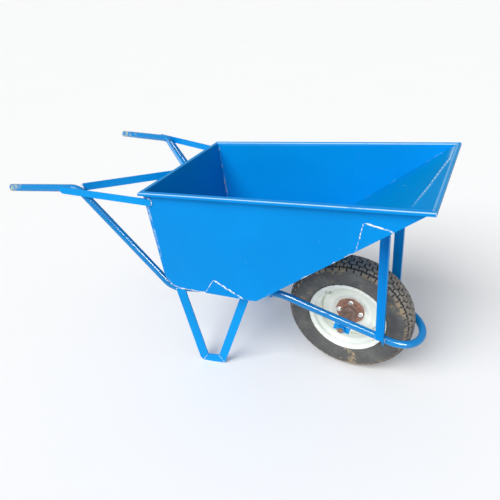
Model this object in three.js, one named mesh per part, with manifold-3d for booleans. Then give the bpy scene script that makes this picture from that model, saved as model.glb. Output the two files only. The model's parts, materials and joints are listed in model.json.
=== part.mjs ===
// Hand-built steel wheelbarrow with one pneumatic wheel.
// Millimetres. X points forward, Y to the user's left, Z up; origin on the ground at the middle of the
// object's box. The tray, tubes and legs are drawn in the tray's own frame: its origin is the wheel's
// axle, its X runs along the tray's floor. That frame stands nose-up on the ground.

import * as THREE from 'three';
import Module from 'manifold-3d';
import { mergeVertices } from 'three/addons/utils/BufferGeometryUtils.js';

const wasm = await Module();
wasm.setup();

// Driving dimensions -----------------------------------------------------------------------------

const gap = 0.3;
const slip = 0.4;
const noseUp = THREE.MathUtils.degToRad(6.4);

const tyreRadius = 232;
const wheelSegments = 40;

const sheet = 2;
const tray = {
  rearX: -611,
  floorZ: 173,
  topZ: 556,
  halfWidth: 250,
  rearRadius: 64,
  footX: -242,
  footRadius: 30,
  panelSlope: THREE.MathUtils.degToRad(34.3),
  wrapSlope: THREE.MathUtils.degToRad(34.6),
  panelOverhang: 3,
};
const lip = { rearX: -620, frontX: 317, halfWidth: 267.7, drop: 10 };

const tube = { radius: 13.5, wall: 2.6, sides: 12 };
const grip = { x: -1169, y: 325, z: 573 };
const elbow = { x: -876, y: 277, z: 565, radius: 55 };
const heel = { x: -600, y: 238, radius: 70 };
const waist = { x: -205, y: 165, radius: 150 };
const yoke = { x: -60, y: 98, z: 49, radius: 90 };
const loopSlope = THREE.MathUtils.degToRad(17.6);
const loopFrontX = 257;
const tubeSplitX = -330;

const barThickness = 4;
const strapWidth = 25;
const strapStart = { x: -940, z: 566 };
const strapEnd = { x: -582, z: 516 };
const braceWidth = 27;
const braceStart = { x: -871, y: 258.6, z: 561.5 };
const braceEnd = { y: 10, z: 528 };

const legTopZ = tray.floorZ - gap;
const legThickness = 5;
const legInner = [[-539.3, legTopZ], [-510.1, -143], [-464.5, -143], [-318.4, legTopZ]];
const legOuter = [[-574.3, legTopZ], [-534, -178], [-445.9, -178], [-283.9, legTopZ]];
const heelCorner = [-545.5, -158];

const rearGusset = [[-444, 174.5], [-291, 174.5], [-397, 236]];
const frontGusset = [[108, 413], [212, 483.5], [133.5, 506]];
const angleBar = { size: 25, wall: 3, rearX: -520, frontX: -300 };
const strut = {
  flange: 20,
  thickness: 3,
  rearEdge: [[121, -12], [141.5, 365]],
  frontEdge: [[151, -20], [172.8, 365]],
};
const bracket = { length: 56, drop: 32, thickness: 6 };

const axleRadius = 10;
const axleHalfLength = 119;
const nut = { radius: 15.6, depth: 14, lockDepth: 10 };
const bearing = { radius: 23.5, depth: 14, pocketDepth: 14.5 };
const hub = {
  near: -22,
  far: 58,
  barrel: 28,
  spigot: 27,
  core: 12.5,
  flange: 52,
  seat: 6.2,
  flangeDepth: 8,
};
const disc = { near: 6.5, depth: 3, flangeFar: 20, rim: 109.2 };
const bolt = { count: 4, circle: 40.5, shank: 5, hole: 5.6, head: 9.8, headDepth: 7, shankEnd: 20 };
const boltTurn = THREE.MathUtils.degToRad(88);
const valve = { stem: 4, stemLength: 26, collar: 6.5, collarLength: 6, reach: 103, y: -11 };
const valveTurn = THREE.MathUtils.degToRad(138);
const valveLean = THREE.MathUtils.degToRad(-40);
const airTube = { centre: 174, outside: 33, wall: 2.5, sides: 8, segments: 28, valveHole: 3.5 };

// Half sections of the tyre and the rim as [radius, y], from the middle plane outward and back.
const tyreHalf = [
  [222, 12],
  [217, 27],
  [207, 38],
  [188, 46],
  [156, 38.5],
  [137, 26],
  [129.6, 27],
  [129.6, 38.4],
  [144.9, 38.4],
  [150, 44],
  [168, 51],
  [186, 54.5],
  [203, 52.5],
  [216, 45],
  [225.5, 32],
  [230.5, 18],
  [tyreRadius, 7],
];
const rimHalf = [
  [109.6, 20.5],
  [126.6, 27.2],
  [126.6, 41.4],
  [139.6, 41.4],
  [141.6, 45],
  [144.2, 43.6],
  [142.2, 39],
  [129, 39],
  [129, 25.6],
  [112, 18.9],
];

// Materials --------------------------------------------------------------------------------------

const finish = (color, roughness, metalness) => () =>
  new THREE.MeshStandardMaterial({ color, roughness, metalness, flatShading: true });

const bluePaint = finish(0x0093ee, 0.35, 0.1);
const creamPaint = finish(0xdfe6dd, 0.4, 0.1);
const rustySteel = finish(0x7a4a38, 0.8, 0.5);
const platedSteel = finish(0xb9b9b2, 0.4, 0.9);
const blackRubber = finish(0x3b3a38, 0.9, 0);

// Solid helpers ----------------------------------------------------------------------------------

function weld(geometry) {
  const bare = geometry.clone();
  bare.deleteAttribute('normal');
  bare.deleteAttribute('uv');
  return mergeVertices(bare, 1e-4);
}

function toSolid(geometry) {
  const welded = weld(geometry);
  const mesh = new wasm.Mesh({
    numProp: 3,
    vertProperties: welded.attributes.position.array,
    triVerts: new Uint32Array(welded.index.array),
  });
  return new wasm.Manifold(mesh);
}

function toGeometry(solid) {
  const mesh = solid.getMesh();
  const geometry = new THREE.BufferGeometry();
  geometry.setAttribute('position', new THREE.BufferAttribute(mesh.vertProperties, 3));
  geometry.setIndex(new THREE.BufferAttribute(mesh.triVerts, 1));
  return geometry;
}

function join(...pieces) {
  return toGeometry(pieces.map(toSolid).reduce((whole, piece) => whole.add(piece)));
}

function cut(body, ...tools) {
  return toGeometry(tools.map(toSolid).reduce((whole, tool) => whole.subtract(tool), toSolid(body)));
}

function mirrored(geometry) {
  const copy = weld(geometry);
  copy.scale(1, -1, 1);
  const index = copy.index.array;
  for (let i = 0; i < index.length; i += 3) {
    const first = index[i];
    index[i] = index[i + 1];
    index[i + 1] = first;
  }
  return copy;
}

function polygon(points) {
  return new THREE.Shape(points.map(([x, y]) => new THREE.Vector2(x, y)));
}

function regularPolygon(radius, sides) {
  const points = [];
  for (let i = 0; i < sides; i += 1) {
    const angle = (2 * Math.PI * i) / sides;
    points.push([radius * Math.cos(angle), radius * Math.sin(angle)]);
  }
  return points;
}

// A plate whose outline is given in X and Z; it fills Y from yFace back to yFace - depth.
function uprightPlate(points, depth, yFace) {
  const geometry = new THREE.ExtrudeGeometry(polygon(points), { depth, bevelEnabled: false });
  return geometry.rotateX(Math.PI / 2).translate(0, yFace, 0);
}

// A round or hexagonal bar along Y between two stations, with an optional bore.
function turned(radius, yFrom, yTo, sides, bore = 0) {
  const shape = polygon(regularPolygon(radius, sides));
  if (bore > 0) {
    shape.holes.push(polygon(regularPolygon(bore, 24)));
  }
  const geometry = new THREE.ExtrudeGeometry(shape, { depth: yTo - yFrom, bevelEnabled: false });
  return geometry.rotateX(Math.PI / 2).translate(0, yTo, 0);
}

// A ring round the wheel's axle; the profile is a closed list of [radius, y] points.
function ring(profile, segments = wheelSegments) {
  const points = [...profile, profile[0]].map(([r, y]) => new THREE.Vector2(r, y));
  return new THREE.LatheGeometry(points, segments);
}

// Replaces the inner corners of an open outline in X and Z by arcs.
function roundCorners(points, radii, steps) {
  const rounded = [points[0]];
  for (let i = 1; i < points.length - 1; i += 1) {
    const corner = new THREE.Vector2(...points[i]);
    const back = new THREE.Vector2(...points[i - 1]).sub(corner).normalize();
    const ahead = new THREE.Vector2(...points[i + 1]).sub(corner).normalize();
    const half = Math.acos(THREE.MathUtils.clamp(back.dot(ahead), -1, 1)) / 2;
    const centre = back.clone().add(ahead).normalize().multiplyScalar(radii[i] / Math.sin(half));
    const reach = radii[i] / Math.tan(half);
    const from = back.clone().multiplyScalar(reach).sub(centre).angle();
    let sweep = ahead.clone().multiplyScalar(reach).sub(centre).angle() - from;
    sweep -= 2 * Math.PI * Math.round(sweep / (2 * Math.PI));
    for (let k = 0; k <= steps; k += 1) {
      const angle = from + (sweep * k) / steps;
      rounded.push([
        corner.x + centre.x + radii[i] * Math.cos(angle),
        corner.y + centre.y + radii[i] * Math.sin(angle),
      ]);
    }
  }
  rounded.push(points[points.length - 1]);
  return rounded;
}

// Tubes ------------------------------------------------------------------------------------------

// A route that passes exactly through its listed points, one point per step.
class Route extends THREE.Curve {
  constructor(points) {
    super();
    this.points = points;
  }

  getPoint(t, target = new THREE.Vector3()) {
    const last = this.points.length - 1;
    const at = Math.min(Math.floor(t * last + 1e-6), last - 1);
    return target.lerpVectors(this.points[at], this.points[at + 1], t * last - at);
  }

  getPointAt(u, target) {
    return this.getPoint(u, target);
  }

  getTangentAt(u, target = new THREE.Vector3()) {
    const last = this.points.length - 1;
    const at = Math.round(u * last);
    const from = this.points[Math.max(at - 1, 0)];
    const to = this.points[Math.min(at + 1, last)];
    return target.subVectors(to, from).normalize();
  }
}

// Bends a list of {x, y, z, radius} corners into a route with arcs.
function bentRoute(corners, turnPerStep = 0.22) {
  const at = corners.map((c) => new THREE.Vector3(c.x, c.y, c.z));
  const points = [at[0]];
  for (let i = 1; i < at.length - 1; i += 1) {
    const back = at[i - 1].clone().sub(at[i]).normalize();
    const ahead = at[i + 1].clone().sub(at[i]).normalize();
    const turn = Math.PI - back.angleTo(ahead);
    const reach = corners[i].radius * Math.tan(turn / 2);
    const centre = back.clone().add(ahead).normalize();
    centre.multiplyScalar(corners[i].radius / Math.cos(turn / 2)).add(at[i]);
    const start = at[i].clone().addScaledVector(back, reach).sub(centre);
    const end = at[i].clone().addScaledVector(ahead, reach).sub(centre);
    const steps = Math.max(2, Math.ceil(turn / turnPerStep));
    for (let k = 0; k <= steps; k += 1) {
      const a = Math.sin((turn * (steps - k)) / steps) / Math.sin(turn);
      const b = Math.sin((turn * k) / steps) / Math.sin(turn);
      points.push(centre.clone().addScaledVector(start, a).addScaledVector(end, b));
    }
  }
  points.push(at[at.length - 1]);
  return points;
}

function pipe(points) {
  const section = polygon(regularPolygon(tube.radius, tube.sides));
  section.holes.push(polygon(regularPolygon(tube.radius - tube.wall, tube.sides)));
  return new THREE.ExtrudeGeometry(section, {
    steps: points.length - 1,
    extrudePath: new Route(points),
    bevelEnabled: false,
  });
}

// Flat bars --------------------------------------------------------------------------------------

// A flat bar on edge between two points, with square or rounded ends.
function edgeBar(from, to, width, roundEnds) {
  const along = to.clone().sub(from);
  const length = along.length();
  along.normalize();
  const across = new THREE.Vector3(0, 0, 1).cross(along).normalize();
  const upward = along.clone().cross(across);
  const half = width / 2;
  const shape = new THREE.Shape();
  if (roundEnds) {
    shape.absarc(half, 0, half, -Math.PI / 2, Math.PI / 2, true);
    shape.absarc(length - half, 0, half, Math.PI / 2, -Math.PI / 2, true);
  } else {
    shape.moveTo(0, -half);
    shape.lineTo(0, half);
    shape.lineTo(length, half);
    shape.lineTo(length, -half);
  }
  const geometry = new THREE.ExtrudeGeometry(shape, {
    depth: barThickness,
    curveSegments: 8,
    bevelEnabled: false,
  });
  geometry.translate(0, 0, -barThickness / 2);
  const basis = new THREE.Matrix4().makeBasis(along, upward, along.clone().cross(upward));
  return geometry.applyMatrix4(basis.setPosition(from));
}

// Tray -------------------------------------------------------------------------------------------

// The tray's outline below its rim, moved inward by an amount: rear wall, floor and sloping front.
function trayOutline(inward, slope, topZ) {
  const floorZ = tray.floorZ + inward;
  const footX = tray.footX - inward * Math.tan(slope / 2);
  const corners = [
    [tray.rearX + inward, topZ],
    [tray.rearX + inward, floorZ],
    [footX, floorZ],
    [footX + (topZ - floorZ) / Math.tan(slope), topZ],
  ];
  return roundCorners(corners, [0, tray.rearRadius - inward, tray.footRadius - inward, 0], 6);
}

const wrapRearInnerX = tray.rearX + tray.panelOverhang + sheet;
const wrapInnerTop = trayOutline(tray.panelOverhang + sheet, tray.wrapSlope, tray.topZ);
const wrapFrontInnerX = wrapInnerTop[wrapInnerTop.length - 1][0];
const wrapHalfWidth = tray.halfWidth - sheet - gap;

// A folded lip: flange and down-turn. Its ends are mitred: they move with the distance outward.
function foldedLip(innerAt, outerAt, startInner, startOuter, endInner, endOuter) {
  const top = tray.topZ;
  const profile = [
    [innerAt, top - sheet],
    [outerAt - sheet, top - sheet],
    [outerAt - sheet, top - lip.drop],
    [outerAt, top - lip.drop],
    [outerAt, top],
    [innerAt, top],
  ];
  const geometry = weld(new THREE.ExtrudeGeometry(polygon(profile), { depth: 1, bevelEnabled: false }));
  const position = geometry.attributes.position;
  for (let i = 0; i < position.count; i += 1) {
    const outward = position.getX(i);
    const share = (outward - innerAt) / (outerAt - innerAt);
    const start = THREE.MathUtils.lerp(startInner, startOuter, share);
    const end = THREE.MathUtils.lerp(endInner, endOuter, share);
    const along = THREE.MathUtils.lerp(start, end, position.getZ(i));
    position.setXYZ(i, outward, position.getY(i), along);
  }
  return geometry;
}

// The lip's frame is outward, up, along; this turns it to X forward, Y left, Z up.
function placeLip(geometry, outward, along) {
  const up = new THREE.Vector3(0, 0, 1);
  return geometry.applyMatrix4(new THREE.Matrix4().makeBasis(outward, up, along));
}

function wrapSheet() {
  const outer = trayOutline(tray.panelOverhang, tray.wrapSlope, tray.topZ);
  const inner = trayOutline(tray.panelOverhang + sheet, tray.wrapSlope, tray.topZ);
  const body = uprightPlate([...outer, ...inner.reverse()], 2 * wrapHalfWidth, wrapHalfWidth);
  const outerEnd = lip.halfWidth - gap;
  const rearLip = placeLip(
    foldedLip(-wrapRearInnerX, -lip.rearX, -wrapHalfWidth, -outerEnd, wrapHalfWidth, outerEnd),
    new THREE.Vector3(-1, 0, 0),
    new THREE.Vector3(0, 1, 0),
  );
  const frontLip = placeLip(
    foldedLip(wrapFrontInnerX, lip.frontX, -wrapHalfWidth, -outerEnd, wrapHalfWidth, outerEnd),
    new THREE.Vector3(1, 0, 0),
    new THREE.Vector3(0, -1, 0),
  );
  return join(body, rearLip, frontLip);
}

function sidePanel() {
  const outer = trayOutline(0, tray.panelSlope, tray.topZ - sheet - gap);
  const frontX = lip.frontX - sheet - gap;
  const slopeZ = tray.floorZ + (frontX - tray.footX) * Math.tan(tray.panelSlope);
  outer.pop();
  outer.push([frontX, slopeZ], [frontX, tray.topZ - sheet - gap]);
  const innerFace = -(tray.halfWidth - sheet);
  const plate = uprightPlate(outer, sheet, innerFace);
  const rearX = wrapRearInnerX + gap;
  const frontInnerX = wrapFrontInnerX - gap;
  const upstand = uprightPlate(
    [[rearX, tray.topZ - 20], [frontInnerX, tray.topZ - 20], [frontInnerX, tray.topZ], [rearX, tray.topZ]],
    sheet,
    innerFace,
  );
  const sideLip = placeLip(
    foldedLip(tray.halfWidth - sheet, lip.halfWidth, -frontInnerX, gap - lip.frontX, -rearX, -lip.rearX - gap),
    new THREE.Vector3(0, -1, 0),
    new THREE.Vector3(-1, 0, 0),
  );
  return join(plate, upstand, sideLip);
}

function gusset(corners) {
  return uprightPlate(corners, sheet, -(tray.halfWidth + gap));
}

// Tube frame -------------------------------------------------------------------------------------

const tubeZ = tray.floorZ + tray.panelOverhang - tube.radius - gap;
const tubeYaw = Math.atan2(heel.y - waist.y, waist.x - heel.x);

function tubeYAt(x) {
  return heel.y - (x - heel.x) * Math.tan(tubeYaw);
}

function splitPoint(shift) {
  const x = tubeSplitX + shift;
  return { x, y: -tubeYAt(x), z: tubeZ };
}

function handleTube() {
  return pipe(bentRoute([
    { x: grip.x, y: -grip.y, z: grip.z },
    { ...elbow, y: -elbow.y },
    { ...heel, y: -heel.y, z: tubeZ },
    splitPoint(-gap / 2),
  ]));
}

function wheelLoop() {
  const reach = (loopFrontX - yoke.x) / Math.cos(loopSlope);
  const bendRadius = yoke.y;
  const front = { x: loopFrontX, z: yoke.z - reach * Math.sin(loopSlope), radius: bendRadius - 0.5 };
  const right = [
    splitPoint(gap / 2),
    { ...waist, y: -waist.y, z: tubeZ },
    { ...yoke, y: -yoke.y },
    { ...front, y: -yoke.y },
  ];
  const left = right.map((corner) => ({ ...corner, y: -corner.y })).reverse();
  return pipe(bentRoute([...right, ...left]));
}

// Point on the loop's arm at a distance outside the arm's centreline, measured square to the slope.
function armFrame(x, below) {
  const z = yoke.z - (x - yoke.x) * Math.tan(loopSlope);
  return [x - below * Math.sin(loopSlope), z - below * Math.cos(loopSlope)];
}

// Handle bars and braces -------------------------------------------------------------------------

function strap() {
  const beside = tube.radius + barThickness / 2 + 2 * gap;
  const gripSpread = (grip.y - elbow.y) / (elbow.x - grip.x);
  const startY = elbow.y + (elbow.x - strapStart.x) * gripSpread + beside;
  const endY = tray.halfWidth + barThickness / 2 + 2 * gap;
  const from = new THREE.Vector3(strapStart.x, -startY, strapStart.z);
  const to = new THREE.Vector3(strapEnd.x, -endY, strapEnd.z);
  return edgeBar(from, to, strapWidth, true);
}

function rearBrace() {
  const wallX = tray.rearX + tray.panelOverhang - barThickness / 2 - 2 * gap;
  const from = new THREE.Vector3(braceStart.x, -braceStart.y, braceStart.z);
  const to = new THREE.Vector3(wallX, -braceEnd.y, braceEnd.z);
  return edgeBar(from, to, braceWidth, false);
}

// Legs -------------------------------------------------------------------------------------------

// Moves a corner toward the next one by half a gap.
function drawIn([x, z], [towardX, towardZ]) {
  const share = gap / 2 / Math.hypot(towardX - x, towardZ - z);
  return [x + share * (towardX - x), z + share * (towardZ - z)];
}

// The rear, foot and front bars of one leg, in the upright plane below its tube.
function legBars() {
  const inner = legInner.map(([x, z]) => [(x - heel.x) / Math.cos(tubeYaw), z]);
  const outer = legOuter.map(([x, z]) => [(x - heel.x) / Math.cos(tubeYaw), z]);
  const clipped = [(heelCorner[0] - heel.x) / Math.cos(tubeYaw), heelCorner[1]];
  const ground = new THREE.BoxGeometry(400, 600, 100);
  ground.translate(-500, 0, -tyreRadius - 50).rotateY(noseUp);
  const innerY = tubeYAt(heel.x) + (tube.radius + gap) / Math.cos(tubeYaw);
  return [0, 1, 2].map((i) => {
    const corners = [
      drawIn(outer[i], outer[i + 1]),
      drawIn(outer[i + 1], outer[i]),
      drawIn(inner[i + 1], inner[i]),
      drawIn(inner[i], inner[i + 1]),
    ];
    if (i === 0) {
      corners.splice(1, 0, clipped);
    }
    const bar = uprightPlate(corners, legThickness, 0);
    bar.rotateZ(tubeYaw).translate(heel.x, -innerY, 0);
    return cut(bar, ground);
  });
}

function crossBar(x) {
  const length = 2 * (tubeYAt(x) - (tube.radius + 1) / Math.cos(tubeYaw));
  const top = tray.floorZ + tray.panelOverhang - gap;
  const { size, wall } = angleBar;
  const section = [
    [x, top - size],
    [x + wall, top - size],
    [x + wall, top - wall],
    [x + size, top - wall],
    [x + size, top],
    [x, top],
  ];
  return uprightPlate(section, length, length / 2);
}

// Struts and axle brackets -----------------------------------------------------------------------

// Height of the sloping front's underside above a point of the floor's line.
function undersideZ(x) {
  const footX = tray.footX - tray.panelOverhang * Math.tan(tray.wrapSlope / 2);
  return tray.floorZ + tray.panelOverhang + (x - footX) * Math.tan(tray.wrapSlope) - 2 * gap;
}

// Where an edge of the strut, drawn on through its two points, meets the sloping front.
function meetFront([[x, z], [x2, z2]]) {
  const share = (undersideZ(x) - z) / (z2 - z - (x2 - x) * Math.tan(tray.wrapSlope));
  return [x + share * (x2 - x), z + share * (z2 - z)];
}

function frontStrut() {
  const webY = -(yoke.y + tube.radius + gap);
  const [frontX, frontZ] = strut.frontEdge[0];
  const frontTop = meetFront(strut.frontEdge);
  const webOutline = [strut.rearEdge[0], strut.frontEdge[0], frontTop, meetFront(strut.rearEdge)];
  const flangeOutline = [
    [frontX - strut.thickness, frontZ],
    [frontX, frontZ],
    frontTop,
    [frontTop[0] - strut.thickness, undersideZ(frontTop[0] - strut.thickness)],
  ];
  const web = uprightPlate(webOutline, strut.thickness, webY);
  const flange = uprightPlate(flangeOutline, strut.flange, webY);
  return join(web, flange);
}

function axleBracket() {
  const half = bracket.length / 2;
  const top = tube.radius + gap;
  const bottom = top + bracket.drop;
  const middle = ((top + bottom) / 2) * Math.sin(loopSlope);
  const corners = [
    armFrame(middle - half, bottom),
    armFrame(middle + half, bottom),
    armFrame(middle + half, top),
    armFrame(middle - half, top),
  ];
  const plate = uprightPlate(corners, bracket.thickness, -yoke.y + bracket.thickness / 2);
  const hole = turned(axleRadius + slip, -yoke.y - bracket.thickness, -yoke.y + bracket.thickness, 24);
  return cut(plate, hole);
}

// Wheel ------------------------------------------------------------------------------------------

// Mirrors half a profile, listed from the wheel's middle plane outward, about that plane.
function symmetricProfile(half) {
  const nearHalf = half.map(([r, y]) => [r, -y]);
  return [...nearHalf, ...[...half].reverse()];
}

// One of a ring of four stations round the axle.
function atBolt(geometry, i) {
  const angle = boltTurn + (i * 2 * Math.PI) / bolt.count;
  return geometry.translate(bolt.circle * Math.cos(angle), 0, bolt.circle * Math.sin(angle));
}

function boltHoles() {
  return Array.from({ length: bolt.count }, (_, i) => atBolt(turned(bolt.hole, -20, 40, 12), i));
}

// A dished disc with a ring-shaped swage, turned over at its edge to meet the rim.
function wheelDisc() {
  const near = disc.near;
  const far = near + disc.depth;
  const swage = near - 8;
  const bore = hub.spigot + 0.6;
  const profile = [
    [bore, near],
    [57, near],
    [67, swage],
    [83, swage],
    [97, near],
    [disc.rim, near],
    [disc.rim, disc.flangeFar],
    [disc.rim - disc.depth, disc.flangeFar],
    [disc.rim - disc.depth, far],
    [95.8, far],
    [82, swage + disc.depth],
    [68, swage + disc.depth],
    [58.2, far],
    [bore, far],
  ];
  return cut(ring(profile), ...boltHoles());
}

function wheelHub() {
  const pocket = bearing.radius + slip;
  const flangeNear = hub.seat - hub.flangeDepth;
  const profile = [
    [pocket, hub.near],
    [hub.barrel, hub.near],
    [hub.barrel, flangeNear],
    [hub.flange, flangeNear],
    [hub.flange, hub.seat],
    [hub.spigot, hub.seat],
    [hub.spigot, hub.far],
    [pocket, hub.far],
    [pocket, hub.far - bearing.pocketDepth],
    [hub.core, hub.far - bearing.pocketDepth],
    [hub.core, hub.near + bearing.pocketDepth],
    [pocket, hub.near + bearing.pocketDepth],
  ];
  return cut(ring(profile, 32), ...boltHoles());
}

function hubBearing(yFrom) {
  const yTo = yFrom + bearing.depth;
  const bore = axleRadius + slip;
  return ring([[bore, yFrom], [bearing.radius, yFrom], [bearing.radius, yTo], [bore, yTo]], 32);
}

function innerTube() {
  const section = (radius) => regularPolygon(radius, airTube.sides).map(([x, y]) => [airTube.centre + x, y]);
  const outside = ring(section(airTube.outside), airTube.segments);
  const inside = ring(section(airTube.outside - airTube.wall), airTube.segments);
  const hole = turned(airTube.valveHole, -18, 18, 8).rotateZ(Math.PI / 2);
  hole.translate(airTube.centre - airTube.outside, 0, 0).rotateY(-valveTurn);
  return cut(outside, inside, hole);
}

function valveStem() {
  const stem = turned(valve.stem, -valve.stemLength, 0, 10);
  const collar = turned(valve.collar, -valve.collarLength, 0, 10);
  const whole = join(stem, collar);
  return whole.rotateZ(valveLean).translate(valve.reach, valve.y, 0).rotateY(-valveTurn);
}

function lugBolt(i) {
  const headTop = hub.seat - hub.flangeDepth - gap;
  const head = turned(bolt.head, headTop - bolt.headDepth, headTop, 6);
  const shank = turned(bolt.shank, headTop - 1, bolt.shankEnd, 12);
  return atBolt(join(head, shank), i);
}

function lugNut(i) {
  const from = disc.near + disc.depth + gap;
  return atBolt(turned(bolt.head, from, from + bolt.headDepth + 1, 6, bolt.shank + 0.5), i);
}

// Assembly ---------------------------------------------------------------------------------------

function add(group, name, geometry, material) {
  const mesh = new THREE.Mesh(weld(geometry), material());
  mesh.name = name;
  mesh.geometry.computeVertexNormals();
  group.add(mesh);
}

function addPair(group, name, geometry, material) {
  add(group, `${name}_right`, geometry, material);
  add(group, `${name}_left`, mirrored(geometry), material);
}

const axleHeight = new THREE.Vector3(0, 0, tyreRadius);

const body = new THREE.Group();
body.position.copy(axleHeight);
body.rotation.y = -noseUp;
add(body, 'tray_wrap_sheet', wrapSheet(), bluePaint);
addPair(body, 'tray_side', sidePanel(), bluePaint);
addPair(body, 'gusset_rear', gusset(rearGusset), bluePaint);
addPair(body, 'gusset_front', gusset(frontGusset), bluePaint);
addPair(body, 'handle_tube', handleTube(), bluePaint);
add(body, 'wheel_loop', wheelLoop(), bluePaint);
addPair(body, 'strap', strap(), bluePaint);
addPair(body, 'rear_brace', rearBrace(), bluePaint);
const [legRear, foot, legFront] = legBars();
addPair(body, 'leg_rear_bar', legRear, bluePaint);
addPair(body, 'foot_bar', foot, bluePaint);
addPair(body, 'leg_front_bar', legFront, bluePaint);
add(body, 'cross_bar_rear', crossBar(angleBar.rearX), bluePaint);
add(body, 'cross_bar_front', crossBar(angleBar.frontX), bluePaint);
addPair(body, 'strut', frontStrut(), bluePaint);
addPair(body, 'axle_bracket', axleBracket(), bluePaint);

const fixedAxle = new THREE.Group();
fixedAxle.position.copy(axleHeight);
add(fixedAxle, 'axle', turned(axleRadius, -axleHalfLength, axleHalfLength, 24), rustySteel);
const nutFar = -(yoke.y + bracket.thickness / 2 + gap);
const nutBore = axleRadius + slip;
addPair(fixedAxle, 'axle_nut', turned(nut.radius, nutFar - nut.depth, nutFar, 6, nutBore), rustySteel);
const lockNut = (yFrom) => turned(nut.radius, yFrom, yFrom + nut.lockDepth, 6, nutBore);
add(fixedAxle, 'lock_nut_right', lockNut(hub.near - gap - nut.lockDepth), rustySteel);
add(fixedAxle, 'lock_nut_left', lockNut(hub.far + gap), rustySteel);

const wheel = new THREE.Group();
wheel.position.copy(axleHeight);
add(wheel, 'tyre', ring(symmetricProfile(tyreHalf)), blackRubber);
add(wheel, 'inner_tube', innerTube(), blackRubber);
add(wheel, 'rim_band', ring(symmetricProfile(rimHalf)), creamPaint);
add(wheel, 'wheel_disc', wheelDisc(), creamPaint);
add(wheel, 'hub', wheelHub(), rustySteel);
add(wheel, 'bearing_right', hubBearing(hub.near + gap), platedSteel);
add(wheel, 'bearing_left', hubBearing(hub.far - gap - bearing.depth), platedSteel);
add(wheel, 'valve_stem', valveStem(), blackRubber);
for (let i = 0; i < bolt.count; i += 1) {
  add(wheel, `lug_bolt_${i + 1}`, lugBolt(i), platedSteel);
  add(wheel, `lug_nut_${i + 1}`, lugNut(i), platedSteel);
}

const barrow = new THREE.Group();
barrow.add(body, fixedAxle, wheel);
const extent = new THREE.Box3().setFromObject(barrow, true);
barrow.position.x = -(extent.min.x + extent.max.x) / 2;

export default barrow;
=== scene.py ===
"""Looks of the wheelbarrow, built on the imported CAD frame."""
import json
import math
import random
from math import cos, pi, radians, sin, tan

import bpy
from mathutils import Matrix, Vector, noise


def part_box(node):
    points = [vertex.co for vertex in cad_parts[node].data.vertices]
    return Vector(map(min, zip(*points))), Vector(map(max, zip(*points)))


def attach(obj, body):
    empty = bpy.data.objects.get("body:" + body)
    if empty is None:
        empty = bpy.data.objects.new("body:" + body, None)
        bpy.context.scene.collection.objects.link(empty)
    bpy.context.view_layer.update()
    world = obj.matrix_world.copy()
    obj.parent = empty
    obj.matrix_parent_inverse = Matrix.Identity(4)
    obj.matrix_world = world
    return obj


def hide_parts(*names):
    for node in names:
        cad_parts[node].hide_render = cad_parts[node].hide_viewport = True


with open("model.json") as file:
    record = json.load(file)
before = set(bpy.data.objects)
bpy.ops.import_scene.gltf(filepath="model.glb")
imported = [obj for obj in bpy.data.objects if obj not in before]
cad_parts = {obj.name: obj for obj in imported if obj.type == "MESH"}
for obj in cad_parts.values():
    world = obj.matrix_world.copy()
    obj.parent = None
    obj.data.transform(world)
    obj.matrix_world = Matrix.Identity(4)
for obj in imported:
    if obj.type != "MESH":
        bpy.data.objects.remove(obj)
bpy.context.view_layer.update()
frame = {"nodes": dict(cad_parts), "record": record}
rng = random.Random(7)

# Dimensions in the tray's own frame, in millimetres: origin on the axle, X along the tray's floor.
MM = 0.001
NOSE_UP = radians(6.4)
AXLE = Vector(frame["record"]["behaviour"]["joints"][0]["pos_m"])

SHEET = 2.0
REAR_X = -611.0
FLOOR_Z = 173.0
TOP_Z = 556.0
HALF_WIDTH = 250.0
REAR_RADIUS = 64.0
FOOT_X = -242.0
FOOT_RADIUS = 30.0
PANEL_SLOPE = radians(34.3)
WRAP_SLOPE = radians(34.6)
OVERHANG = 3.0
LIP_REAR_X = -620.0
LIP_FRONT_X = 317.0
LIP_HALF = 267.7
LIP_DROP = 10.0
LIP_BEND = 3.4

TUBE_RADIUS = 13.4
TUBE_WALL = 2.6
GRIP = (-1169, 325, 573)
ELBOW = (-876, 277, 565)
HEEL = (-600, 238)
WAIST = (-205, 165)
YOKE = (-60, 98, 49)
LOOP_SLOPE = radians(17.6)
LOOP_FRONT_X = 257
SPLIT_X = -330
TUBE_Z = 162.2

REAR_GUSSET = [(-444, 174.5), (-397, 236), (-291, 174.5)]
FRONT_GUSSET = [(108, 413), (133.5, 506), (212, 483.5)]
STRAP_END = (-594.5, 517.8)

# The side wall's top edge runs from WALL_REAR_X to WALL_FRONT_X; its sloping edge reaches PANEL_FRONT_X.
WALL_REAR_X = REAR_X + 5.3
WALL_FRONT_X = 304.1
PANEL_FRONT_X = 314.7

# Inner faces of the wrapped sheet: rear wall, floor, start of the slope and its top.
INWARD = OVERHANG + SHEET
WRAP_HALF = HALF_WIDTH - SHEET - 0.3
WRAP_REAR = REAR_X + INWARD
WRAP_FLOOR = FLOOR_Z + INWARD
WRAP_FOOT = FOOT_X - INWARD * tan(WRAP_SLOPE / 2)
WRAP_FRONT = WRAP_FOOT + (TOP_Z - WRAP_FLOOR) / tan(WRAP_SLOPE)

# Damage: (x, z) line beside the rear weld, (x, spread) of chips on the sloping seam, (x, y) of the crease.
REAR_SEAM = [(REAR_X + 7, 540), (REAR_X + 7, 330), (REAR_X + 5, 250)]
SLOPE_CHIPS = [(88, 24), (42, 12), (-52, 34), (-205, 30), (200, 30)]
CREASE = [(304, 232), (301, 122), (285, 43), (265, -61), (241, -148)]

WELD_RIPPLE = 3.4
TREAD_PITCHES = 52
VALVE_TURN = radians(138)


def tray_point(x, y, z):
    """A point of the tray's frame, in millimetres, as a world position in metres."""
    c, s = cos(NOSE_UP), sin(NOSE_UP)
    return AXLE + Vector((c * x - s * z, y, s * x + c * z)) * MM


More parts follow.
